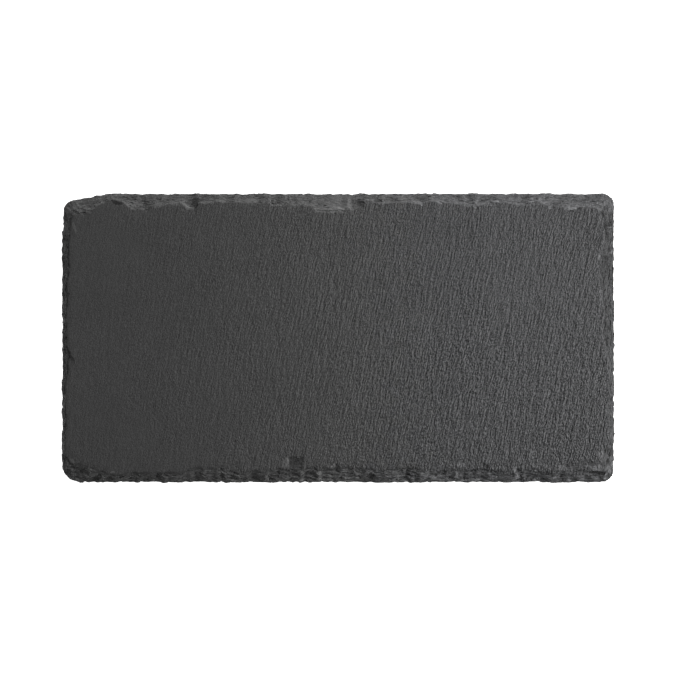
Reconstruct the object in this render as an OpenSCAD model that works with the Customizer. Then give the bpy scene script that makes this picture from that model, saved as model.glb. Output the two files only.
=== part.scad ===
// Slate serving board: one riven slate slab with dressed edges, on four glued rubber feet.
// Millimetres. X runs along the length, Y across, Z up. The feet stand on Z = 0.

/* [Slate] */
// Length of the slate
slate_l = 300; // [240:1:420]
// Width of the slate
slate_w = 157; // [120:1:220]
// Thickness of the slate
slate_t = 5.5; // [4:0.1:8]

/* [Corners] */
// Radius of the front left corner
front_left_r = 10; // [3:0.5:14]
// Radius of the front right corner
front_right_r = 7.5; // [3:0.5:14]
// Radius of the back right corner
back_right_r = 6; // [3:0.5:14]
// Radius of the back left corner
back_left_r = 4; // [3:0.5:14]
// Depth knocked off the back edge at the back left corner
knock_d = 4.6; // [0:0.1:6]
// Depth knocked off the left edge at the back left corner
knock_side_d = 1.4; // [0:0.1:4]
// Length of the back edge that was knocked off there
knock_l = 24; // [12:1:40]

/* [Dressed edge] */
// Usual width of the chipped slope, seen from above
dress_w = 6; // [3:0.1:8]
// Height of the broken arris under the slope
arris_h = 0.7; // [0.3:0.1:1.2]
// Width of the broken arris, seen from below
arris_w = 0.9; // [0.3:0.1:2]
// How far the outline wanders in and out
ragged_d = 0.35; // [0:0.05:0.6]
// Number of cleavage layers that the slope steps through
layer_count = 5; // [3:1:6]
// Spacing of the points round the edge
edge_step = 2.4; // [2:0.1:6]

/* [Lost flakes] */
// Thickness of the flakes that are missing from the face
flake_t = 0.4; // [0.2:0.05:0.8]
// Depth of the small hollows at the dressed edge
hollow_d = 1.8; // [0.8:0.1:3]

/* [Feet] */
// Diameter of a foot
foot_d = 12; // [8:0.5:20]
// Height of a foot
foot_h = 2; // [1.5:0.1:4]
// Radius of the rounded lower edge of a foot
foot_edge_r = 0.8; // [0.2:0.1:1.4]
// Distance from the slate's ends to the middle of a foot
foot_inset_x = 22; // [16:0.5:40]
// Distance from the slate's long sides to the middle of a foot
foot_inset_y = 22; // [16:0.5:40]

/* [Adhesive discs] */
// How far an adhesive disc stays inside the edge of its foot
disc_margin = 0.3; // [0:0.1:1.5]
// Thickness of an adhesive disc
disc_t = 0.3; // [0.1:0.05:1]

/* [Hidden] */
$fn = 64;

// Levels, and the line down the middle that the edge is drawn towards
under_z = foot_h + disc_t;
top_z = under_z + slate_t;
half_l = slate_l / 2;
half_w = slate_w / 2;
disc_d = foot_d - 2 * disc_margin;
corner_steps = 8;
corner_ragged_share = 0.25;
spine_l = half_l - half_w;
spine_count = 7;
overrun = 1;

// Width of the dressed slope along each side. The first number is the place along the side, as a share of
// its length, from the left or from the front. The second is the width, as a share of dress_w.
back_shares = [
    [0.015, 1.3], [0.04, 1.25], [0.06, 0.9], [0.08, 0.7], [0.1, 0.95], [0.12, 1.6], [0.13, 1.4],
    [0.145, 1.6], [0.15, 1.25], [0.175, 1.15], [0.205, 1.05], [0.215, 0.9], [0.225, 1.35],
    [0.235, 1.8], [0.24, 1.25], [0.25, 0.8], [0.285, 0.8], [0.33, 0.95], [0.365, 0.9], [0.395, 1.05],
    [0.425, 1.15], [0.45, 1.25], [0.46, 1.5], [0.525, 1.5], [0.54, 1.4], [0.55, 0.9], [0.575, 0.95],
    [0.615, 0.9], [0.65, 1.1], [0.685, 0.9], [0.73, 1], [0.76, 1.15], [0.78, 0.95], [0.805, 0.95],
    [0.83, 1.15], [0.86, 0.95], [0.89, 1.25], [0.915, 1.5], [0.93, 1.5], [0.965, 1.25], [0.98, 1.6]
];
front_shares = [
    [0.015, 1.5], [0.035, 1.6], [0.04, 1.25], [0.05, 1.25], [0.06, 0.95], [0.09, 0.8], [0.115, 0.95],
    [0.16, 0.95], [0.21, 1.05], [0.23, 1.4], [0.25, 1.5], [0.28, 1.25], [0.3, 1.25], [0.32, 0.95],
    [0.34, 1.15], [0.355, 1.25], [0.4, 1.25], [0.435, 1.45], [0.48, 1.25], [0.495, 1.7], [0.505, 1.45],
    [0.56, 1.35], [0.58, 1.45], [0.59, 1.6], [0.615, 1.5], [0.635, 1.45], [0.645, 1.25], [0.68, 1.05],
    [0.695, 1.25], [0.77, 1.25], [0.795, 1.15], [0.825, 0.95], [0.83, 1.35], [0.87, 1.25], [0.9, 0.9],
    [0.93, 0.75], [0.98, 0.8]
];
left_shares = [
    [0.04, 0.7], [0.09, 0.4], [0.145, 0.5], [0.195, 0.55], [0.265, 0.4], [0.325, 0.5], [0.39, 0.75],
    [0.415, 0.8], [0.43, 1.05], [0.45, 0.8], [0.47, 0.6], [0.53, 0.6], [0.555, 0.5], [0.58, 0.6],
    [0.65, 0.75], [0.67, 0.7], [0.765, 0.75], [0.84, 0.85], [0.875, 0.95], [0.925, 0.8]
];
right_shares = [
    [0.08, 1.3], [0.105, 0.85], [0.145, 0.6], [0.37, 0.6], [0.425, 0.75], [0.475, 1.05], [0.51, 1.3],
    [0.565, 1.2], [0.6, 1.05], [0.63, 1.15], [0.665, 1.5], [0.72, 1.4], [0.8, 1.6], [0.84, 1.3],
    [0.87, 0.95], [0.905, 0.85], [0.94, 1.4]
];

// Smooth scars, where one large chip came away cleanly and no layers show: 1 is smooth, 0 is stepped
back_smooth_shares = [
    [0.02, 0.7], [0.09, 0], [0.155, 0], [0.16, 0.6], [0.21, 0.6], [0.22, 0], [0.45, 0], [0.46, 1], [0.53, 1],
    [0.54, 0], [0.88, 0], [0.9, 0.8], [0.93, 0.8], [0.96, 0]
];
front_smooth_shares = [
    [0.215, 0], [0.22, 0.5], [0.27, 0.5], [0.28, 0], [0.51, 0], [0.52, 0.8], [0.56, 0.8], [0.57, 0],
    [0.655, 0], [0.66, 0.9], [0.68, 0.9], [0.69, 0], [0.705, 0], [0.71, 0.9], [0.72, 0.9], [0.725, 0]
];
left_smooth_shares = [[0.2, 0.3], [0.8, 0.3]];
right_smooth_shares = [[0.15, 0.9], [0.4, 0.7], [0.45, 0.9], [0.62, 0.7], [0.8, 0.9], [0.9, 0.3]];

// Flakes lost from the face, along the front or back edge. Each point is a place along the edge, as a share
// of slate_l, and a reach in from the edge, as a share of dress_w.
front_flake_shares = [
    [[0.411, 0.7], [0.409, 2.35], [0.424, 2.3], [0.439, 2.35], [0.436, 1.8], [0.434, 0.7]],
    [[0.897, 0.6], [0.9, 1.65], [0.918, 1.9], [0.925, 1.75], [0.945, 2.1], [0.96, 2.05], [0.976, 2.2],
     [0.984, 1.5], [0.98, 0.6]],
    [[0.49, 0.9], [0.487, 1.5], [0.495, 1.85], [0.502, 1.55], [0.508, 0.9]]
];
back_flake_shares = [
    [[0.456, 0.9], [0.458, 1.75], [0.47, 1.85], [0.483, 1.7], [0.5, 1.82], [0.513, 1.7], [0.52, 0.9]],
    [[0.905, 0.9], [0.908, 1.65], [0.922, 1.6], [0.931, 1.7], [0.94, 0.9]],
    [[0.005, 0.8], [0.012, 2.05], [0.035, 1.75], [0.055, 1.4], [0.075, 0.8]]
];

// Small deep hollows, written in the same way
front_hollow_shares = [
    [[0.958, 0.45], [0.96, 0.95], [0.972, 1.05], [0.982, 0.9], [0.984, 0.5]],
    [[0.545, 0.3], [0.55, 0.75], [0.565, 0.8], [0.575, 0.35]]
];
back_hollow_shares = [
    [[0.533, 0.7], [0.532, 1.05], [0.537, 1.3], [0.545, 1.2], [0.548, 0.75]],
    [[0.236, 0.4], [0.237, 1.1], [0.243, 1.3], [0.248, 0.8], [0.246, 0.4]]
];

// Edge of the slab, as stations that run front, right, back, left. A station is its place on the outline,
// the width of the slope there, how smooth the slope is and how ragged the outline is.
function place_share(v, half) = (v + half) / (2 * half);
function clamped(v, limit) = max(-limit, min(limit, v));

function side_stations(from, to, shares, smooth_shares, along_x) =
    let (count = round(norm(to - from) / edge_step))
    [for (i = [0 : count - 1])
        let (p = from + (to - from) * i / count)
        let (place = along_x ? place_share(p.x, half_l) : place_share(p.y, half_w))
        [p, dress_w * lookup(place, shares), lookup(place, smooth_shares), 1]];

// A corner turns from one width of slope to the next
function corner_stations(middle, r, start, from_share, to_share) =
    [for (i = [0 : corner_steps - 1])
        let (turn = i / corner_steps, a = start + 90 * turn)
        let (width = dress_w * (from_share + (to_share - from_share) * turn))
        [middle + r * [cos(a), sin(a)], width, 0, corner_ragged_share]];

function first_share(shares) = shares[0][1];
function last_share(shares) = shares[len(shares) - 1][1];

stations = concat(
    side_stations([front_left_r - half_l, -half_w], [half_l - front_right_r, -half_w],
        front_shares, front_smooth_shares, true),
    corner_stations([half_l - front_right_r, front_right_r - half_w], front_right_r, -90,
        last_share(front_shares), first_share(right_shares)),
    side_stations([half_l, front_right_r - half_w], [half_l, half_w - back_right_r],
        right_shares, right_smooth_shares, false),
    corner_stations([half_l - back_right_r, half_w - back_right_r], back_right_r, 0,
        last_share(right_shares), last_share(back_shares)),
    side_stations([half_l - back_right_r, half_w], [back_left_r - half_l, half_w],
        back_shares, back_smooth_shares, true),
    corner_stations([back_left_r - half_l, half_w - back_left_r], back_left_r, 90,
        first_share(back_shares), last_share(left_shares)),
    side_stations([-half_l, half_w - back_left_r], [-half_l, front_left_r - half_w],
        left_shares, left_smooth_shares, false),
    corner_stations([front_left_r - half_l, front_left_r - half_w], front_left_r, 180,
        first_share(left_shares), first_share(front_shares))
);
station_count = len(stations);
every_station = [0 : station_count - 1];

// The back left corner was knocked off: the edge slants in over knock_l
function knocked(p) =
    let (near_left = max(0, 1 - (p.x + half_l) / knock_l), near_back = max(0, 1 - (half_w - p.y) / knock_l))
    p + near_back * near_left * [knock_side_d, -knock_d];

// Inset round the edge: a point moves towards the spine, which keeps the rings from crossing
function inset_point(p, inset) =
    let (spine = [clamped(p.x, spine_l), 0])
    p + (spine - p) * inset / half_w;

// Chips: each is a hollow between two cusps, with a length and a depth of its own. Its profile is a parabola
// that is 1 in the middle. Spans are in stations.
function chip_depth(i, span, depths) =
    let (u = i / span + depths[floor(i / span / 2) % station_count], f = u - floor(u))
    4 * f * (1 - f) * depths[floor(u) % station_count];

chip_seed = 11;
outline_rands = rands(-ragged_d, ragged_d, station_count, chip_seed);
outline_noise = [for (i = every_station) outline_rands[i] * stations[i][3]];
under_shares = rands(0.5, 1.2, station_count, chip_seed + 1);

// The inner edge of the slope, chipped finely
top_chip_span = 2.6;
top_chip_shares = rands(0, 0.3, station_count, chip_seed + 2);
slope_w = [for (i = every_station) stations[i][1] * (0.9 + chip_depth(i, top_chip_span, top_chip_shares))];

// Share of the slope's width that each layer takes at a station. The lower layers have the shorter chips,
// and on a smooth scar all the layers take alike.
least_step_share = 0.1;
rough_step_share = 0.3;
chip_step_share = 2;
short_chip_span = 3;
layer_rough_shares = [for (k = [1 : layer_count]) rands(0.2, 1, station_count, chip_seed + 10 * k)];
layer_chip_shares = [for (k = [1 : layer_count]) rands(0, 1, station_count, chip_seed + 10 * k + 1)];

function stepped(k, i) =
    least_step_share + rough_step_share * layer_rough_shares[k][i]
    + chip_step_share * chip_depth(i, short_chip_span + k, layer_chip_shares[k]);
function layer_step(k, i) = stepped(k, i) + (1 - stepped(k, i)) * stations[i][2];
function layer_sum(k, i) = k < 0 ? 0 : layer_step(k, i) + layer_sum(k - 1, i);
layer_sums = [for (i = every_station) layer_sum(layer_count - 1, i)];

// Rings from the underside up. A layer has a broken riser, which leans in, and a flat tread on top of it.
riser_lean_share = 0.35;
smooth_lean_share = 0.9;
height_bend = 0.85;
layer_height_shares = [for (k = [0 : layer_count - 1]) pow((k + 1) / layer_count, height_bend)];
slope_h = slate_t - arris_h;

function slope_point(i, share) =
    inset_point(knocked(stations[i][0]), outline_noise[i] + (slope_w[i] - outline_noise[i]) * share);

function ring(z, shares) = [for (i = every_station) let (p = slope_point(i, shares[i])) [p.x, p.y, z]];

function layer_share(k, i) = layer_sum(k - 1, i) / layer_sums[i];
function lean_share(i) = riser_lean_share + (smooth_lean_share - riser_lean_share) * stations[i][2];

function riser_foot(k) = [for (i = every_station) layer_share(k, i)];
function riser_head(k) = [for (i = every_station)
    k == layer_count - 1 ? 1
    : layer_share(k, i) + lean_share(i) * (layer_share(k + 1, i) - layer_share(k, i))];

function layer_z(k) = under_z + arris_h + (k == 0 ? 0 : slope_h * layer_height_shares[k - 1]);

under_ring = [for (i = every_station)
    let (p = inset_point(knocked(stations[i][0]), ragged_d + arris_w * under_shares[i])) [p.x, p.y, under_z]];

rings = concat(
    [under_ring],
    [for (k = [0 : layer_count - 1]) each [
        ring(layer_z(k), riser_foot(k)),
        ring(layer_z(k + 1), riser_head(k))
    ]]
);
ring_count = len(rings);

// Points down the middle of the top and the underside, which the flat faces are fanned from
spine_x = [for (m = [0 : spine_count - 1]) spine_l * (2 * m / (spine_count - 1) - 1)];
function spine_of(i) =
    round((clamped(stations[i % station_count][0].x, spine_l) + spine_l) / (2 * spine_l) * (spine_count - 1));

slab_points = concat(
    [for (r = rings) each r],
    [for (x = spine_x) [x, 0, under_z]],
    [for (x = spine_x) [x, 0, top_z]]
);
under_spine = ring_count * station_count;
top_spine = under_spine + spine_count;

function ring_index(r, i) = r * station_count + i % station_count;

band_faces = [for (r = [0 : ring_count - 2], i = [0 : station_count - 1]) each [
    [ring_index(r, i), ring_index(r + 1, i), ring_index(r + 1, i + 1)],
    [ring_index(r, i), ring_index(r + 1, i + 1), ring_index(r, i + 1)]
]];

function fan_faces(r, spine) = [for (i = every_station) each
    spine_of(i) == spine_of(i + 1)
    ? [[ring_index(r, i), ring_index(r, i + 1), spine + spine_of(i)]]
    : [[ring_index(r, i), ring_index(r, i + 1), spine + spine_of(i + 1)],
       [ring_index(r, i), spine + spine_of(i + 1), spine + spine_of(i)]]];

function turned(faces) = [for (f = faces) [f[2], f[1], f[0]]];

// The outline of a flake or a hollow, from its shares
function front_outline(shares) = [for (s = shares) [slate_l * s[0] - half_l, dress_w * s[1] - half_w]];
function back_outline(shares) = [for (s = shares) [slate_l * s[0] - half_l, half_w - dress_w * s[1]]];

module lost(outline, depth) {
    translate([0, 0, top_z - depth])
        linear_extrude(depth + overrun)
            polygon(outline);
}

module slate_slab() {
    color([0.24, 0.24, 0.25])
        difference() {
            polyhedron(
                slab_points,
                concat(band_faces, turned(fan_faces(ring_count - 1, top_spine)), fan_faces(0, under_spine))
            );
            for (shares = front_flake_shares)
                lost(front_outline(shares), flake_t);
            for (shares = back_flake_shares)
                lost(back_outline(shares), flake_t);
            for (shares = front_hollow_shares)
                lost(front_outline(shares), hollow_d);
            for (shares = back_hollow_shares)
                lost(back_outline(shares), hollow_d);
        }
}

// Feet and discs stand in from the corners: side is -1 for left or front, 1 for right or rear
module at_foot(side_x, side_y) {
    translate([side_x * (half_l - foot_inset_x), side_y * (half_w - foot_inset_y), 0])
        children();
}

module adhesive_disc(side_x, side_y) {
    color([0.8, 0.8, 0.76])
        at_foot(side_x, side_y)
            translate([0, 0, foot_h])
                cylinder(d = disc_d, h = disc_t);
}

module rubber_foot(side_x, side_y) {
    color([0.05, 0.05, 0.05])
        at_foot(side_x, side_y)
            rotate_extrude()
                intersection() {
                    square([foot_d / 2, foot_h]);
                    union() {
                        translate([0, foot_edge_r])
                            square([foot_d / 2, foot_h - foot_edge_r]);
                        square([foot_d / 2 - foot_edge_r, foot_h]);
                        translate([foot_d / 2 - foot_edge_r, foot_edge_r])
                            circle(foot_edge_r);
                    }
                }
}

slate_slab();
adhesive_disc(-1, -1);  // adhesive_front_left
adhesive_disc(1, -1);  // adhesive_front_right
adhesive_disc(-1, 1);  // adhesive_rear_left
adhesive_disc(1, 1);  // adhesive_rear_right
rubber_foot(-1, -1);  // foot_front_left
rubber_foot(1, -1);  // foot_front_right
rubber_foot(-1, 1);  // foot_rear_left
rubber_foot(1, 1);  // foot_rear_right
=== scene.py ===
import math

import bpy
from mathutils import Matrix, Vector


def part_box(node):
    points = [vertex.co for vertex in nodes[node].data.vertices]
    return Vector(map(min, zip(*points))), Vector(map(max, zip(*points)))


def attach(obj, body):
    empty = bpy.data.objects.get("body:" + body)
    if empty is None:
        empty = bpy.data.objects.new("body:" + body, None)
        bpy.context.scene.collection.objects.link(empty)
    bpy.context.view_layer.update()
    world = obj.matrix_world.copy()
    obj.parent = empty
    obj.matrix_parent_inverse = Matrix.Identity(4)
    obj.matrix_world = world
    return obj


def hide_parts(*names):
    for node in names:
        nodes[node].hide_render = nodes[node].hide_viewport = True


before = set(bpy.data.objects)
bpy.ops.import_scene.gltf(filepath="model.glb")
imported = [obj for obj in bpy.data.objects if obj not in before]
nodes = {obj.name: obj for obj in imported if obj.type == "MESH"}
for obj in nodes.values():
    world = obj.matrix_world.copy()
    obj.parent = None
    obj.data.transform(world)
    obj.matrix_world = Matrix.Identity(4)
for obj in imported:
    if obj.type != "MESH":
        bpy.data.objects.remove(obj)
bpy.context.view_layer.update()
bpy.ops.object.select_all(action="DESELECT")

# Slate slab: one piece of natural slate, split by hand along its cleavage, so both faces are riven.
# Its four edges are dressed, chipped away from below the face upwards, which leaves a slope of thin
# broken layers with a few clean scars. Everything else is glued under it.
mm = 0.001
slab_low, slab_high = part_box("slate_slab")
half_l = (slab_high.x - slab_low.x) / 2 / mm
half_w = (slab_high.y - slab_low.y) / 2 / mm
face_z = slab_high.z / mm
under_z = slab_low.z / mm

voxel = 0.4 * mm
weld_gap = 0.001 * mm
most_triangles = 190000
facet_angle = math.radians(20)


class Value:
    """An output of a node tree. Python's operators on it add the Math or Vector Math nodes."""

    def __init__(self, tree, socket):
        self.tree = tree
        self.socket = socket

    def node(self, kind, settings, inputs, output=0):
        """Adds a node, sets its settings first and then its inputs, and gives one of its outputs."""
        made = self.tree.nodes.new(kind)
        for name, setting in settings.items():
            setattr(made, name, setting)
        for name, given in inputs.items():
            if isinstance(given, Value):
                self.tree.links.new(given.socket, made.inputs[name])
            else:
                made.inputs[name].default_value = given
        return Value(self.tree, made.outputs[output])

    def maths(self, operation, *others):
        return self.node("ShaderNodeMath", {"operation": operation}, dict(enumerate((self, *others))))

    def __add__(self, other):
        return self.maths("ADD", other)

    def __radd__(self, other):
        return self.maths("ADD", other)

    def __sub__(self, other):
        return self.maths("SUBTRACT", other)

    def __rsub__(self, other):
        return (-self).maths("ADD", other)

    def __neg__(self):
        return self.maths("MULTIPLY", -1)

    def __mul__(self, other):
        return self.maths("MULTIPLY", other)

    def __rmul__(self, other):
        return self.maths("MULTIPLY", other)

    def __truediv__(self, other):
        return self.maths("DIVIDE", other)

    def rise(self, low, high):
        """Goes smoothly from 0 at low to 1 at high."""
        ends = {"Value": self, "From Min": low, "From Max": high}
        return self.node("ShaderNodeMapRange", {"interpolation_type": "SMOOTHSTEP"}, ends)

    def output(self, name):
        """Another output of the same node."""
        return Value(self.tree, self.socket.node.outputs[name])

    def vector(self, operation, other, output=0):
        return self.node("ShaderNodeVectorMath", {"operation": operation}, {0: self, 1: other}, output)

    def scaled(self, factor):
        return self.node("ShaderNodeVectorMath", {"operation": "SCALE"}, {"Vector": self, "Scale": factor})

    def parts(self):
        return [self.node("ShaderNodeSeparateXYZ", {}, {"Vector": self}, axis) for axis in "XYZ"]


def joined(x, y, z):
    """A vector of three parts, each a number or a Value. The last of them is a Value."""
    return z.node("ShaderNodeCombineXYZ", {}, {"X": x, "Y": y, "Z": z})


def mottle(place, size, detail=2.0, roughness=0.5):
    """Soft noise round 0, about -0.3 to 0.3, with patches of the given size."""
    inputs = {"Vector": place, "Scale": 1 / size, "Detail": detail, "Roughness": roughness}
    return place.node("ShaderNodeTexNoise", {"noise_dimensions": "3D"}, inputs) - 0.5


# The riven face. The split runs in fine broken ripples and grain that lean a little off the board's width,
# strong at the right and faint at the left. Places are in millimetres.
def streaks(place, across, along, lean, detail=0.0):
    """Broken streaks, across and along millimetres in size, that lean the given degrees off the width. The
    face is set half a cell off the planes of the noise, where the noise is weak."""
    drift_patch, drift_reach, half_cell = 8.0, 0.8, 0.5
    x, y, z = place.parts()
    turn = math.radians(lean)
    drift = mottle(place, drift_patch) * drift_reach
    u = x * math.cos(turn) - y * math.sin(turn) + drift
    v = x * math.sin(turn) + y * math.cos(turn)
    return mottle(joined(u / across, v / along, (z - face_z) / along + half_cell), 1.0, detail)


def streak_strength(place):
    """How strong the streaks are: faint at the left end, full at the right, calmer towards the back there."""
    at_left, gain, calmer_back, patch, unevenness = 0.13, 0.87, 0.3, 22.0, 0.3
    x, y = place.parts()[:2]
    right = x.rise(-1.05 * half_l, 0.95 * half_l)
    back = y.rise(-0.45 * half_w, 0.6 * half_w)
    calm = mottle(place, patch, detail=1.0)
    return right * gain + at_left - right * right * back * calmer_back + calm * unevenness


def face_share(place):
    """1 on the riven face and 0 down on the dressed edge."""
    slope_top, lip_round = 0.65, 0.25
    return place.parts()[2].rise(face_z - slope_top, face_z - lip_round)


def underside(place):
    """1 on the underside and 0 above it."""
    just_in, well_in = 0.1, 0.6
    return 1 - place.parts()[2].rise(under_z + just_in, under_z + well_in)


def under_share(place):
    """1 on the free underside, 0 above it and where the feet are glued."""
    glued_r, free_r = 6.5, 10.0
    low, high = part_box("foot_rear_right")
    x, y = place.parts()[:2]
    off_x = x.maths("ABSOLUTE") - (low.x + high.x) / 2 / mm
    off_y = y.maths("ABSOLUTE") - (low.y + high.y) / 2 / mm
    far = (off_x * off_x + off_y * off_y).maths("SQRT")
    return underside(place) * far.rise(glued_r, free_r)


def flakes(place, length, depth, thickness):
    """The broken edge as flakes that run along it, each with a level and a tilt of its own. Gives the height
    of the flakes, about -0.5 to 0.5, and a chance from 0 to 1 for each of them."""
    end_depth, bend_patch, bend_in, bend_up = 8.0, 12.0, 3.0, 2.0
    level_share, tilt_share = 0.5, 1.4
    bend = mottle(place, bend_patch)
    x, y, z = place.parts()
    at_end = x.maths("ABSOLUTE").maths("GREATER_THAN", half_l - end_depth)
    along = y * at_end + x * (1 - at_end)
    inward = x * at_end + y * (1 - at_end)
    spot = joined(along / length, (inward + bend * bend_in) / depth, (z + bend * bend_up) / thickness)
    cell = spot.node("ShaderNodeTexVoronoi", {}, {"Vector": spot, "Scale": 1.0}, "Position")
    chance = cell.output("Color")
    level = chance.parts()[0]
    leaning = chance.vector("SUBTRACT", (0.5, 0.5, 0.5))
    tilt = spot.vector("SUBTRACT", cell).vector("DOT_PRODUCT", leaning, "Value")
    return level * level_share - level_share / 2 + tilt * tilt_share, chance.parts()[1]


def strata(place, along, across):
    """Thin broken layers that run round the edge, like the lines of a map."""
    x, y, z = place.parts()
    at_end = (x.maths("ABSOLUTE") - half_l).maths("GREATER_THAN", y.maths("ABSOLUTE") - half_w)
    run = y * at_end + x * (1 - at_end)
    inward = x * at_end + y * (1 - at_end)
    return mottle(joined(run / along, inward / across, z / across), 1.0, detail=1.0)


# Scars of the dressing round the face, each an oval: its middle on the board, half its length and width, its
# lean in degrees, and how much lighter or darker it is than the stone round it, partly its own tone and partly
# painted light and shade of the chips.
scars = (
    (-136.6, 69.8, 9.7, 0.6, 21.5, 0.5), (-111.0, 72.5, 3.8, 3.0, -40, 0.8),
    (-119.7, 73.4, 3.2, 1.2, -10, -0.8), (-110.5, 69.5, 1.5, 1.0, 0, -0.4),
    (-100.6, 72.0, 1.8, 1.2, 0, -0.4), (-96.3, 71.7, 5.0, 0.8, 8, 0.7),
    (-88.1, 73.1, 3.5, 1.5, 0, 0.6), (-82.1, 71.5, 2.8, 0.8, -45, 1.0),
    (-77.2, 73.1, 1.8, 2.8, 0, -0.8), (-70.6, 73.4, 3.4, 0.6, 0, 1.0),
    (-63.6, 74.0, 3.0, 0.7, -12, 1.0), (-48.8, 74.2, 4.3, 2.2, 0, 0.4),
    (-31.4, 73.4, 2.0, 1.2, 0, -0.8), (-33.5, 71.8, 3.0, 0.6, 0, 0.8),
    (-25.9, 73.2, 3.6, 0.6, -20, 0.8), (1.4, 73.0, 14.5, 4.0, 0, 0.3),
    (-4.1, 69.8, 9.5, 0.5, 0, 0.9), (-4.1, 69.0, 9.0, 0.3, 0, -0.4),
    (-4.1, 68.2, 8.5, 0.5, 0, 0.7), (11.9, 72.9, 2.8, 2.0, -20, -0.6),
    (16.1, 74.7, 0.9, 0.8, 0, 1.6), (22.1, 74.1, 2.6, 0.5, 0, -0.7),
    (23.7, 72.8, 2.2, 0.8, 0, 0.8), (36.8, 73.4, 5.5, 0.6, 0, 0.7),
    (44.5, 72.8, 2.0, 0.7, -50, 1.0), (54.3, 73.6, 1.9, 0.7, -15, 1.8),
    (69.0, 72.3, 6.5, 1.2, -12, 0.7), (68.5, 74.2, 3.0, 0.5, -10, -0.8),
    (80.5, 72.3, 3.0, 1.0, 0, 0.7), (85.4, 74.0, 2.2, 0.6, -5, 1.8),
    (85.4, 75.1, 2.2, 0.5, -15, -0.8), (104.7, 73.8, 1.6, 0.6, 0, 1.8),
    (104.7, 74.8, 1.6, 0.45, 0, -0.8), (101.2, 72.3, 9.0, 0.6, -4, 0.7),
    (132.3, 72.0, 10.5, 1.5, 4, 0.7), (126.8, 70.1, 2.2, 0.6, 0, 1.5),
    (126.8, 69.2, 2.0, 0.5, 0, -0.6), (-139.9, -68.2, 0.9, 1.1, 0, -0.4),
    (-133.4, -71.2, 2.4, 0.6, -30, 0.9), (-121.9, -72.8, 1.0, 0.8, 0, 1.0),
    (-60.3, -73.1, 3.5, 2.2, -30, 1.0), (-56.7, -77.3, 1.1, 0.8, 0, 2.5),
    (-28.6, -67.6, 1.6, 3.0, 0, 0.8), (-22.6, -67.6, 4.0, 3.2, 0, -0.1),
    (-22.6, -64.5, 4.0, 0.4, 0, -0.5), (-11.7, -73.1, 2.8, 1.4, 0, 1.3),
    (-3.0, -69.3, 2.0, 0.7, 40, 1.3), (-4.4, -75.3, 1.6, 0.8, -45, 2.0),
    (3.5, -75.6, 1.2, 1.0, 0, 2.0), (16.6, -72.5, 5.0, 0.6, 25, 0.9),
    (28.6, -73.6, 3.0, 0.6, -35, 0.9), (47.2, -73.6, 2.6, 1.7, 0, 1.7),
    (51.0, -75.8, 2.4, 1.5, 0, 2.3), (56.5, -72.8, 3.0, 1.4, 0, -0.35),
    (63.3, -74.2, 2.4, 1.7, 70, 2.2), (66.3, -68.2, 2.2, 1.3, 0, 0.6),
    (81.0, -69.8, 4.3, 0.9, -33, -0.7), (88.6, -72.3, 4.5, 0.7, -5, -0.5),
    (95.2, -74.2, 2.6, 1.0, -40, -0.4), (95.7, -70.9, 1.2, 1.8, 0, 0.8),
    (97.4, -75.8, 2.0, 1.2, -30, 1.8), (112.1, -73.1, 4.5, 1.4, 0, -0.35),
    (121.4, -70.1, 2.8, 1.6, 0, 0.6), (139.9, -70.4, 4.0, 1.8, 0, 0.8),
    (142.7, -63.8, 2.2, 3.0, 0, 0.6), (140.5, -73.0, 5.0, 0.9, 0, -0.7),
    (145.9, -70.4, 2.0, 1.2, 35, 0.5), (131.7, -76.4, 1.8, 0.8, 0, 1.8),
    (144.8, -76.0, 1.2, 0.9, 0, 1.8), (145.6, -66.6, 0.9, 1.3, 0, -0.6),
    (147.4, -61.8, 0.8, 2.6, -15, -0.9), (148.4, -67.5, 1.0, 3.0, 0, 0.6),
    (146.3, -73.2, 2.6, 1.0, 40, 0.9), (82.6, -74.7, 4.5, 1.2, -10, 1.3),
    (-146.7, 23.2, 1.4, 2.0, 0, -0.6), (-142.6, 60.0, 0.8, 3.0, 15, 0.6),
    (-144.8, -9.0, 0.8, 5.5, 25, -0.6), (143.2, 59.7, 1.4, 9.0, 0, 0.2),
    (148.4, 46.9, 0.5, 1.8, -20, 1.5), (144.0, 63.8, 0.6, 1.4, 0, 0.9),
    (141.6, 43.1, 1.0, 1.8, 20, 0.8), (148.6, 51.8, 0.5, 0.9, 0, 1.4),
    (146.7, 60.3, 1.8, 0.3, 0, 0.9), (142.2, 25.4, 0.6, 1.0, 0, 1.3),
    (146.8, 35.5, 0.4, 5.0, 0, -0.7), (-110.5, 75.8, 2.6, 0.5, -30, -0.9),
    (-104.7, 73.9, 2.4, 0.4, 0, -0.9), (68.0, 74.6, 3.5, 0.35, -15, 1.1),
    (-143.2, -67.4, 3.6, 1.3, -40, 0.7), (-127.0, -74.3, 13.0, 2.6, -2, 0.1),
    (-96.0, -73.0, 3.2, 2.6, 0, 0.1),
)


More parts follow.
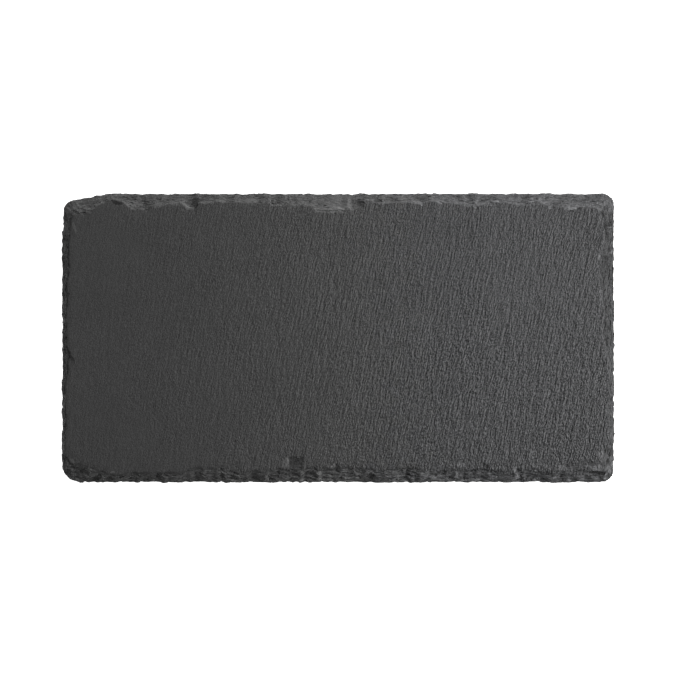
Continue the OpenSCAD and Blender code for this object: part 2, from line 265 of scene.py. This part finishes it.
def scar_marks(place, unscaled):
    """The scars together, on the upper side only, with ragged outlines: how much lighter or darker they make
    the stone, partly their own tone and partly painted light and shade of the chips, and how much scar there
    is. The raggedness is measured from the unscaled place, and a scar has only Math, Vector Math and Map Range
    nodes, because Cycles runs out of room for the material otherwise."""
    ragged_patch, raggedness = 1.1 * mm, 1.5
    wobble_patch, wobble_reach = 4.0 * mm, 3.0
    outside, inside_all = 1.15, 0.7
    upper_low, upper_high = 0.7, 1.4
    ragged = mottle(unscaled, ragged_patch, detail=1.0) * raggedness
    noise = {"Vector": unscaled, "Scale": 1 / wobble_patch, "Detail": 2.0}
    wobble = unscaled.node("ShaderNodeTexNoise", {"noise_dimensions": "3D"}, noise, "Color")
    place = place.vector("ADD", wobble.vector("SUBTRACT", (0.5, 0.5, 0.5)).scaled(wobble_reach))
    tone = cover = 0
    for x, y, half_length, half_width, lean, tone_and_painted_light in scars:
        turn = math.radians(lean)
        long_way = (math.cos(turn) / half_length, math.sin(turn) / half_length, 0.0)
        short_way = (-math.sin(turn) / half_width, math.cos(turn) / half_width, 0.0)
        away = place.vector("SUBTRACT", (x, y, 0.0))
        along = away.vector("DOT_PRODUCT", long_way, "Value")
        across = away.vector("DOT_PRODUCT", short_way, "Value")
        reach = along.maths("MULTIPLY_ADD", along, across.maths("MULTIPLY_ADD", across, ragged))
        inside = reach.rise(outside, inside_all)
        tone = inside.maths("MULTIPLY_ADD", tone_and_painted_light, tone)
        cover = inside.maths("MULTIPLY_ADD", 1.0, cover)
    upper = place.parts()[2].rise(under_z + upper_low, under_z + upper_high)
    return tone * upper, cover * upper


# The mesh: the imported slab's own shape is rebuilt in fine even cells, moved by the relief above, and thinned
# where it is plain.
stone = bpy.data.objects.new("slate_stone", nodes["slate_slab"].data.copy())
bpy.context.collection.objects.link(stone)
bpy.context.view_layer.objects.active = stone
stone.select_set(True)
bpy.ops.object.mode_set(mode="EDIT")
bpy.ops.mesh.select_all(action="SELECT")
bpy.ops.mesh.remove_doubles(threshold=weld_gap)
bpy.ops.object.mode_set(mode="OBJECT")

cells = stone.modifiers.new("even cells", "REMESH")
cells.mode = "VOXEL"
cells.voxel_size = voxel
bpy.ops.object.modifier_apply(modifier=cells.name)

broad_patch, broad_height, ripple_height, face_sink = 45.0, 0.35, 0.12, 0.08
under_patch, under_height, under_rise = 7.0, 0.5, 0.14
grit_patch, grit_share, chip_depth = 1.2, 0.5, 0.5
relief = bpy.data.node_groups.new("riven relief", "GeometryNodeTree")
relief.interface.new_socket("Geometry", in_out="INPUT", socket_type="NodeSocketGeometry")
relief.interface.new_socket("Geometry", in_out="OUTPUT", socket_type="NodeSocketGeometry")
mesh_in = Value(relief, relief.nodes.new("NodeGroupInput").outputs[0])
position = mesh_in.node("GeometryNodeInputPosition", {}, {})
normal = mesh_in.node("GeometryNodeInputNormal", {}, {})
place = position.scaled(1 / mm)
on_face = face_share(place)
on_edge = 1 - on_face - underside(place)
broad = mottle(place, broad_patch) * broad_height
ripple = streaks(place, across=2.6, along=18.0, lean=9.0) * streak_strength(place) * ripple_height
face_lift = (broad + ripple - face_sink) * on_face
under_lift = (mottle(place, under_patch, detail=3.0) * under_height + under_rise) * under_share(place)
lifted = joined(0.0, 0.0, face_lift + under_lift)
chip_height = flakes(place, length=5.0, depth=1.6, thickness=1.1)[0]
chip_height = chip_height + mottle(place, grit_patch) * grit_share
moved = lifted.vector("ADD", normal.scaled(chip_height * on_edge * chip_depth))
mesh_out = mesh_in.node("GeometryNodeSetPosition", {}, {"Geometry": mesh_in, "Offset": moved.scaled(mm)})
relief.links.new(mesh_out.socket, relief.nodes.new("NodeGroupOutput").inputs[0])
carving = stone.modifiers.new("riven relief", "NODES")
carving.node_group = relief
bpy.ops.object.modifier_apply(modifier=carving.name)

triangles = 2 * len(stone.data.polygons)
thinning = stone.modifiers.new("thinning", "DECIMATE")
thinning.ratio = min(1.0, most_triangles / triangles)
bpy.ops.object.modifier_apply(modifier=thinning.name)
bpy.ops.object.shade_smooth_by_angle(angle=facet_angle)
stone.select_set(False)

# The finish: dry dark grey slate, a little lighter where it is freshly broken, with painted light and shade on
# the broken edge and scars and painted shade down in the pits. It is built up from where on the board a spot
# lies, the height of the fine relief, and how light the stone is.
slate = bpy.data.materials.new("riven slate")
slate.use_nodes = True
shader = slate.node_tree.nodes["Principled BSDF"]
shader.inputs["Specular IOR Level"].default_value = 0.15
shader.inputs["Roughness"].default_value = 0.58
coordinates = slate.node_tree.nodes.new("ShaderNodeTexCoord")
unscaled = Value(slate.node_tree, coordinates.outputs["Object"])
place = unscaled.scaled(1 / mm)
on_face = face_share(place)
strength = streak_strength(place)
ripple = streaks(place, across=1.2, along=8.0, lean=12.0)
fine = streaks(place, across=0.75, along=2.8, lean=20.0, detail=1.0)
short = streaks(place, across=0.5, along=1.3, lean=26.0)
grain = streaks(place, across=0.45, along=0.6, lean=20.0)
shard_height, shard_chance = flakes(place, length=3.0, depth=1.0, thickness=0.8)
rough_break = mottle(place, size=0.7, detail=1.0)
specks = mottle(place, size=0.4, detail=0.0)
layers = strata(place, along=4.5, across=0.75)
thin_layers = strata(place, along=1.8, across=0.4)
# The scars are partly the stone's own tone and partly painted light on chip facets and painted shade in chip
# hollows.
scar_tone_and_painted_light, scar_cover = scar_marks(place, unscaled)
terrace_step, scar_smoothness = 0.1, 0.75
terraces = layers.maths("SNAP", terrace_step)
clean = scar_cover.maths("MINIMUM", 1.0) * scar_smoothness

# Where the spot lies: how near to each of the four edges, how worn the edge is there, and whether it belongs
# to a riven side, which is the face or the middle of the underside.
slope_in, slope_out = 12.0, 9.0
worn_front, worn_right = 0.65, 0.35
under_in, under_out, under_up, edge_up = 7.0, 9.0, 1.0, 2.0
x, y, z = place.parts()
back_edge = y.rise(half_w - slope_in, half_w - slope_out)
front_edge = 1 - y.rise(slope_out - half_w, slope_in - half_w)
right_edge = x.rise(half_l - slope_in, half_l - slope_out)
left_edge = 1 - x.rise(slope_out - half_l, slope_in - half_l)
front_left = front_edge * (1 - x.rise(-0.9 * half_l, 0.5 * half_l))
worn = front_left * worn_front + right_edge * worn_right
within_l = (half_l - x.maths("ABSOLUTE")).rise(under_in, under_out)
within_w = (half_w - y.maths("ABSOLUTE")).rise(under_in, under_out)
riven = on_face + within_l * within_w * (1 - z.rise(under_z + under_up, under_z + edge_up))

# The height of the fine relief, in millimetres. Each number is how far its pattern stands out.
breaks = shard_height * 0.35 + rough_break * 0.2 + terraces * 2.0 + thin_layers * 0.6
edge_height = breaks * (1 - worn)
face_height = (fine * 1.15 + ripple + short * 0.95) * strength + grain * 0.12
height = face_height * riven + edge_height * (1 - riven)
bump = place.node("ShaderNodeBump", {}, {"Strength": 1.0, "Distance": mm, "Height": height})

# How light the stone is, beside its plain tone, with painted light and shade on the broken edge. Each number
# is how much its pattern lightens or darkens it.
ridge_reach, few_shards, fewer_shards = 0.07, 0.84, 0.9
lip = z.rise(face_z - 1.0, face_z - 0.6) - z.rise(face_z - 0.35, face_z - 0.1)
# Painted highlight: thin lighter lines along the edges of the layers.
painted_ridge_highlight = 1 - layers.maths("ABSOLUTE").rise(0.0, ridge_reach)
# Painted shade: the edge darker low down, next to the floor, and darker still at the right end.
painted_foot_shade = 1 - z.rise(under_z + 0.4, under_z + 1.5)
fragments = shard_chance.rise(few_shards, fewer_shards)
# The broken edge's own grit and specks, with lighter and darker layers that are partly painted light and shade
# of the layer steps.
grit_and_painted_layer_light = shard_chance * 0.8 - 0.4 + rough_break * 2.0 + layers * 2.0 + thin_layers * 2.4 + painted_ridge_highlight * 0.35
grit_and_painted_layer_light = grit_and_painted_layer_light + fragments * front_edge * 1.3 + specks * 1.6
edge_tone_and_painted_light = grit_and_painted_layer_light * (1 - clean) * (1 - worn) - 0.05 - painted_foot_shade * (0.5 + right_edge * 0.6)
# Painted light and shade by side: the back edge, which faces the key lamp, lighter, the front and left edges
# lightened, and the right edge, which the low lamp lights, darker.
edge_tone_and_painted_light = edge_tone_and_painted_light + back_edge * 0.93 + front_edge * 0.42 - right_edge * 0.35
edge_tone_and_painted_light = edge_tone_and_painted_light + left_edge * 0.1 + front_left * 0.1
# Painted light and shade along the lip where the face breaks off: a painted highlight at the back, and painted
# shade elsewhere, most at the left and front.
lip_painted_light_and_shade = back_edge * 0.9 + right_edge * 0.2 - front_edge * 0.25 - left_edge * 0.6 - 0.4
edge_tone_and_painted_light = edge_tone_and_painted_light + lip * lip_painted_light_and_shade
# The face's grain is lighter on its crests and darker in its hollows, partly its own tone and partly painted
# shade, and stronger to the right.
face_tone_and_painted_shade = grain * (strength * 1.8 + 0.75)
tone = face_tone_and_painted_shade * riven + edge_tone_and_painted_light * (1 - riven) + scar_tone_and_painted_light

# The colour: painted shade towards both ends, and a trace bluer in patches towards the right.
tone_patch, tone_unevenness, painted_right_shade, painted_left_shade = 14.0, 0.25, 0.15, 0.16
tint_patch, tint_spread, tint_from, tint_to = 6.0, 120.0, 5.0, 60.0
right_end = x.rise(0.55 * half_l, half_l)
left_part = 1 - x.rise(-0.73 * half_l, 0.2 * half_l)
tone = tone + mottle(place, tone_patch) * tone_unevenness + 1.0
tone = tone * (1 - right_end * painted_right_shade - left_part * painted_left_shade)
tint = (x + mottle(place, tint_patch, detail=1.0) * tint_spread).rise(tint_from, tint_to)
stone_grey = (0.0600, 0.0600, 0.0600, 1.0)
stone_blue = (0.0596, 0.0600, 0.0618, 1.0)
colour = place.node(
    "ShaderNodeMix", {"data_type": "RGBA"}, {"Factor": tint, 6: stone_grey, 7: stone_blue}, 2
)
slate.node_tree.links.new(colour.scaled(tone).socket, shader.inputs["Base Color"])
slate.node_tree.links.new(bump.socket, shader.inputs["Normal"])
stone.data.materials.clear()
stone.data.materials.append(slate)
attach(stone, "root")
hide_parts("slate_slab")

# Adhesive discs: thin double-sided foam discs, punched out of sheet, which fix the feet to the underside.
# Only their pale rims show, between the stone and the rubber.
pore_size, pore_depth, painted_pore_shade, soil_patch = 0.12, 0.1, 0.8, 1.5
foam_roughness, pore_roughness = 0.8, 0.3
foam_pale, foam_soiled = (0.62, 0.62, 0.58, 1.0), (0.42, 0.41, 0.37, 1.0)
foam = bpy.data.materials.new("adhesive foam")
foam.use_nodes = True
shader = foam.node_tree.nodes["Principled BSDF"]
shader.inputs["Specular IOR Level"].default_value = 0.3
coordinates = foam.node_tree.nodes.new("ShaderNodeTexCoord")
place = Value(foam.node_tree, coordinates.outputs["Object"]).scaled(1 / mm)
pores = mottle(place, pore_size, detail=1.0)
soiling = mottle(place, soil_patch).rise(0.0, 0.3)
colour = place.node(
    "ShaderNodeMix", {"data_type": "RGBA"}, {"Factor": soiling, 6: foam_pale, 7: foam_soiled}, 2
)
bump = place.node("ShaderNodeBump", {}, {"Strength": 1.0, "Distance": mm, "Height": pores * pore_depth})
roughness = pores * pore_roughness + foam_roughness
# Painted shade: the foam darker down in its pores and lighter on the bumps between them.
foam.node_tree.links.new(colour.scaled(1 + pores * painted_pore_shade).socket, shader.inputs["Base Color"])
foam.node_tree.links.new(roughness.socket, shader.inputs["Roughness"])
foam.node_tree.links.new(bump.socket, shader.inputs["Normal"])
corner_names = ("front_left", "front_right", "rear_left", "rear_right")
for corner_name in corner_names:
    nodes["adhesive_" + corner_name].material_slots[0].material = foam

# Rubber feet: four moulded black anti-slip feet, one near each corner, pressed onto the adhesive discs. The
# sole has a rounded rim, a grip groove and a dished middle, left by the mould.
foot_low, foot_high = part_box("foot_front_left")
foot_middle = (foot_low + foot_high) / 2
foot_r = (foot_high.x - foot_low.x) / 2
foot_sides, foot_facet_angle = 96, math.radians(35)
rim_r, rim_steps = 0.8 * mm, 6
sole_w, groove_w, ridge_w = 1.1 * mm, 0.7 * mm, 0.9 * mm
groove_depth, groove_slope = 0.3 * mm, 0.15 * mm
dish_depth = groove_depth / 4
nearly_down = -0.99
bpy.ops.mesh.primitive_cylinder_add(
    vertices=foot_sides, radius=foot_r, depth=foot_high.z - foot_low.z, location=foot_middle
)
foot = bpy.context.object
bpy.ops.object.transform_apply(location=True, rotation=True, scale=True)
bpy.ops.object.mode_set(mode="EDIT")
bpy.ops.mesh.select_mode(type="FACE")
bpy.ops.mesh.select_all(action="DESELECT")
bpy.ops.object.mode_set(mode="OBJECT")
for polygon in foot.data.polygons:
    polygon.select = polygon.normal.z < nearly_down
bpy.ops.object.mode_set(mode="EDIT")
bpy.ops.mesh.bevel(offset=rim_r, segments=rim_steps, affect="EDGES")
bpy.ops.mesh.select_all(action="DESELECT")
bpy.ops.object.mode_set(mode="OBJECT")
for polygon in foot.data.polygons:
    polygon.select = polygon.normal.z < nearly_down and len(polygon.vertices) == foot_sides
bpy.ops.object.mode_set(mode="EDIT")
for step_in, step_up in (
    (sole_w, 0), (groove_slope, -groove_depth), (groove_w, 0), (groove_slope, groove_depth),
    (ridge_w, 0), (groove_slope, -groove_depth), (groove_slope, -dish_depth),
):
    bpy.ops.mesh.inset(thickness=step_in, depth=step_up)
bpy.ops.object.mode_set(mode="OBJECT")
bpy.ops.object.shade_smooth_by_angle(angle=foot_facet_angle)

rubber_grain, grain_depth, dust_patch = 0.15, 0.05, 2.5
rubber_roughness, dust_roughness = 0.65, 0.2
rubber_black, rubber_dusty = (0.012, 0.012, 0.012, 1.0), (0.035, 0.034, 0.032, 1.0)
rubber = bpy.data.materials.new("black foot rubber")
rubber.use_nodes = True
shader = rubber.node_tree.nodes["Principled BSDF"]
shader.inputs["Specular IOR Level"].default_value = 0.35
coordinates = rubber.node_tree.nodes.new("ShaderNodeTexCoord")
place = Value(rubber.node_tree, coordinates.outputs["Object"]).scaled(1 / mm)
grain = mottle(place, rubber_grain, detail=1.0)
dust = mottle(place, dust_patch, detail=3.0).rise(0.02, 0.3)
colour = place.node(
    "ShaderNodeMix", {"data_type": "RGBA"}, {"Factor": dust, 6: rubber_black, 7: rubber_dusty}, 2
)
bump = place.node("ShaderNodeBump", {}, {"Strength": 1.0, "Distance": mm, "Height": grain * grain_depth})
roughness = dust * dust_roughness + rubber_roughness
rubber.node_tree.links.new(colour.socket, shader.inputs["Base Color"])
rubber.node_tree.links.new(roughness.socket, shader.inputs["Roughness"])
rubber.node_tree.links.new(bump.socket, shader.inputs["Normal"])
foot.data.materials.append(rubber)
for corner_name in corner_names:
    cad_name = "foot_" + corner_name
    moulded = bpy.data.objects.new("rubber_" + cad_name, foot.data.copy())
    moulded.data.transform(Matrix.Translation(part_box(cad_name)[0] - foot_low))
    bpy.context.collection.objects.link(moulded)
    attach(moulded, "root")
    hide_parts(cad_name)
bpy.data.objects.remove(foot)

# Floor: a plain pale sheet, a stage only. The camera sees it pure white, as the photograph's background is,
# while it lights the board's edges as a pale grey sheet does.
floor_size, floor_grey, floor_glow = 6, 0.7, 1.3
bpy.ops.mesh.primitive_plane_add(size=floor_size)
floor = bpy.context.object
floor.name = "floor"
sheet = bpy.data.materials.new("pale floor")
sheet.use_nodes = True
floor_shader = sheet.node_tree.nodes["Principled BSDF"]
floor_shader.inputs["Base Color"].default_value = (floor_grey, floor_grey, floor_grey, 1.0)
floor_shader.inputs["Roughness"].default_value = 1.0
floor_shader.inputs["Specular IOR Level"].default_value = 0.0
floor_shader.inputs["Emission Color"].default_value = (1.0, 1.0, 1.0, 1.0)


def seen_directly(tree):
    """1 for what the camera sees, also in a reflection or through glass, and 0 for light on the object."""
    path = tree.nodes.new("ShaderNodeLightPath")
    seen = Value(tree, path.outputs["Is Camera Ray"])
    seen = seen + Value(tree, path.outputs["Is Glossy Ray"])
    return seen + Value(tree, path.outputs["Is Transmission Ray"])


glow = seen_directly(sheet.node_tree) * floor_glow
sheet.node_tree.links.new(glow.socket, floor_shader.inputs["Emission Strength"])
floor.data.materials.append(sheet)
floor.select_set(False)

# Light: a large soft lamp from the back right, a low one near the right end, and an even white room. The room
# is white to the camera and dim to the board.
room_fill = 0.16
world = bpy.data.worlds.new("white room")
bpy.context.scene.world = world
world.use_nodes = True
room = world.node_tree.nodes["Background"]
room_level = seen_directly(world.node_tree).rise(0.0, 1.0) * (1 - room_fill) + room_fill
room.inputs["Color"].default_value = (1.0, 1.0, 1.0, 1.0)
world.node_tree.links.new(room_level.socket, room.inputs["Strength"])


def lamp(name, azimuth, elevation, distance, width, power, target):
    """A square soft lamp. Azimuth turns from +X towards +Y."""
    light = bpy.data.lights.new(name, "AREA")
    light.size = width
    light.energy = power
    made = bpy.data.objects.new(name, light)
    turn, rise = math.radians(azimuth), math.radians(elevation)
    away = Vector((math.cos(turn) * math.cos(rise), math.sin(turn) * math.cos(rise), math.sin(rise)))
    made.location = Vector(target) + away * distance
    made.rotation_euler = away.to_track_quat("Z", "Y").to_euler()
    made.visible_camera = False
    bpy.context.collection.objects.link(made)


board_middle, right_half = (0, 0, slab_high.z), (0.06, 0, slab_high.z)
lamp("key lamp", azimuth=72, elevation=32, distance=2.0, width=0.4, power=30.0, target=board_middle)
lamp("low lamp", azimuth=-6, elevation=22, distance=0.45, width=0.1, power=2.6, target=right_half)

# Camera: straight above the board, as in the photograph, which has 680 pixels along each side. The size of a
# pixel is measured at the height of the board's outline.
photo_px = 680
pixel = 0.5433 * mm
middle_px = (338.1, 338.0)
lens, sensor = 100.0, 36.0
outline_z = 3.0 * mm
view_width = photo_px * pixel
camera_data = bpy.data.cameras.new("camera")
camera_data.lens = lens
camera_data.sensor_width = sensor
camera = bpy.data.objects.new("camera", camera_data)
camera.location = (
    (photo_px / 2 - middle_px[0]) * pixel,
    (middle_px[1] - photo_px / 2) * pixel,
    outline_z + view_width * lens / sensor,
)
bpy.context.collection.objects.link(camera)
bpy.context.scene.camera = camera
bpy.context.scene.view_settings.view_transform = "Standard"
